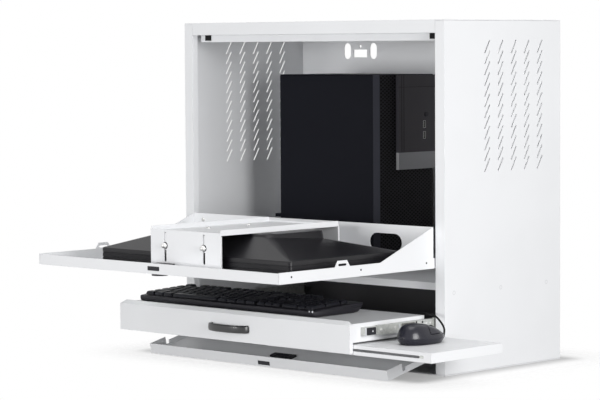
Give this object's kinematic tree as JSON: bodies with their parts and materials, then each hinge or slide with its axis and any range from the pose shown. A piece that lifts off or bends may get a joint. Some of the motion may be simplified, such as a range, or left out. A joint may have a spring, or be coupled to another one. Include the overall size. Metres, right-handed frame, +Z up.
{
  "type": "wall-mounted computer workstation",
  "caption": "Steel wall cabinet for a computer: drop-down monitor door, keyboard drawer with pull-out mouse shelf and lower flap, shown open with its equipment in place",
  "frame": {"origin": "on the outer face of the back panel, on its centre line, 0.40 m above the underside of the cabinet", "axes": "+Y into the wall, +Z up, +X to the right of a person who faces the cabinet"},
  "size_m": [0.7885, 0.7164, 0.622],
  "materials": {
    "white_paint": "satin powder coat",
    "zinc": "zinc plated",
    "steel": "bright",
    "black_plastic": "fine texture",
    "black_steel": "matt black",
    "dark_grey_plastic": "smooth",
    "black_rubber": "matt",
    "clear_pane": "clear",
    "screen_glass": "dark"
  },
  "bodies": {
    "cabinet": {"left_side_panel": "white_paint", "right_side_panel": "white_paint", "top_panel": "white_paint", "bottom_panel": "white_paint", "back_panel": "white_paint", "middle_shelf": "white_paint", "door_bumper_left": "black_rubber", "door_bumper_right": "black_rubber", "door_hinge_pin_left": "steel", "door_hinge_pin_right": "steel", "flap_hinge_left": "zinc", "flap_hinge_right": "zinc", "slide_outer_left": "zinc", "slide_outer_right": "zinc", "pc_case": "black_steel", "pc_side_cover": "black_steel", "pc_front_bezel": "black_plastic", "pc_port_panel": "dark_grey_plastic"},
    "upper_door": {"door_pan": "white_paint", "door_cheek_left": "white_paint", "door_cheek_right": "white_paint", "door_window": "clear_pane", "door_latch_case": "black_plastic", "bridge_foot_front": "white_paint", "bridge_foot_rear": "white_paint", "bridge_thumb_screw_left": "steel", "bridge_thumb_screw_right": "steel"},
    "door_bolt": {"door_latch_bolt": "dark_grey_plastic"},
    "door_lock": {"door_lock_plug": "steel"},
    "monitor_carriage": {"monitor_bridge": "white_paint", "monitor_housing": "black_plastic", "monitor_bezel": "black_plastic", "monitor_screen": "screen_glass"},
    "drawer": {"drawer_tray": "white_paint", "drawer_front": "white_paint", "drawer_handle": "black_plastic", "slide_inner_left": "zinc", "slide_inner_right": "zinc", "slide_release_lever_left": "black_plastic", "slide_release_lever_right": "black_plastic", "keyboard_case": "black_plastic", "keyboard_keys": "black_plastic", "shelf_hanger_left": "zinc", "shelf_hanger_right": "zinc"},
    "left_slide_middle": {"slide_middle_left": "zinc"},
    "right_slide_middle": {"slide_middle_right": "zinc"},
    "pull_out_shelf": {"mouse_shelf": "white_paint", "mouse_shell": "dark_grey_plastic", "mouse_cord": "black_rubber", "mouse_cord_coil": "black_rubber", "mouse_plug": "black_plastic"},
    "left_click": {"mouse_left_button": "dark_grey_plastic"},
    "right_click": {"mouse_right_button": "dark_grey_plastic"},
    "scroll_wheel": {"mouse_wheel": "black_rubber"},
    "lower_flap": {"flap_pan": "white_paint", "flap_latch_case": "black_plastic"},
    "flap_bolt": {"flap_latch_bolt": "dark_grey_plastic"},
    "flap_lock": {"flap_lock_plug": "steel"},
    "power_button": {"pc_power_button": "dark_grey_plastic"}
  },
  "joints": [
    {"name": "upper_door_hinge", "type": "hinge", "parent": "cabinet", "child": "upper_door", "pos_m": [0, -0.317, -0.202], "axis": [-1, 0, 0], "range_deg": [0, 90]},
    {"name": "door_lock_turn", "type": "hinge", "parent": "upper_door", "child": "door_lock", "pos_m": [0, -0.7005, -0.212], "axis": [0, 0, -1], "range_deg": [0, 90]},
    {"name": "door_bolt_throw", "type": "slide", "parent": "upper_door", "child": "door_bolt", "axis": [0, -1, 0], "range_m": [0, 0.006]},
    {"name": "monitor_bridge_lift", "type": "slide", "parent": "upper_door", "child": "monitor_carriage", "axis": [0, 0, 1], "range_m": [0, 0.01]},
    {"name": "drawer_slide", "type": "slide", "parent": "cabinet", "child": "drawer", "axis": [0, -1, 0], "range_m": [-0.01, 0.06]},
    {"name": "slide_middle_left_travel", "type": "slide", "parent": "cabinet", "child": "left_slide_middle", "axis": [0, -1, 0], "range_m": [-0.005, 0.03]},
    {"name": "slide_middle_right_travel", "type": "slide", "parent": "cabinet", "child": "right_slide_middle", "axis": [0, -1, 0], "range_m": [-0.005, 0.03]},
    {"name": "mouse_shelf_slide", "type": "slide", "parent": "drawer", "child": "pull_out_shelf", "axis": [-1, 0, 0], "range_m": [0, 0.026]},
    {"name": "mouse_left_click", "type": "slide", "parent": "pull_out_shelf", "child": "left_click", "axis": [0, 0, -1], "range_m": [0, 0.0008], "stiffness_N_per_m": 700, "springref_m": -0.0005},
    {"name": "mouse_right_click", "type": "slide", "parent": "pull_out_shelf", "child": "right_click", "axis": [0, 0, -1], "range_m": [0, 0.0008], "stiffness_N_per_m": 700, "springref_m": -0.0005},
    {"name": "mouse_wheel_turn", "type": "hinge", "parent": "pull_out_shelf", "child": "scroll_wheel", "pos_m": [0.36, -0.407, -0.3102], "axis": [1, 0, 0], "continuous": true},
    {"name": "lower_flap_hinge", "type": "hinge", "parent": "cabinet", "child": "lower_flap", "pos_m": [0, -0.303, -0.342], "axis": [-1, 0, 0], "range_deg": [0, 11]},
    {"name": "flap_lock_turn", "type": "hinge", "parent": "lower_flap", "child": "flap_lock", "pos_m": [0, -0.40701, -0.38973], "axis": [0, 0.2215, -0.9751], "range_deg": [0, 90]},
    {"name": "flap_bolt_throw", "type": "slide", "parent": "lower_flap", "child": "flap_bolt", "axis": [0, -0.9751, -0.2215], "range_m": [0, 0.006]},
    {"name": "power_button_press", "type": "slide", "parent": "cabinet", "child": "power_button", "axis": [-1, 0, 0], "range_m": [0, 0.0015], "stiffness_N_per_m": 600, "springref_m": -0.0005}
  ],
  "couplings": [
    {"joint": "door_lock_turn", "follows": "door_bolt_throw", "rad_per_m": 261.5},
    {"joint": "flap_lock_turn", "follows": "flap_bolt_throw", "rad_per_m": 261.5},
    {"joint": "slide_middle_left_travel", "follows": "drawer_slide", "ratio": 0.5},
    {"joint": "slide_middle_right_travel", "follows": "drawer_slide", "ratio": 0.5}
  ]
}
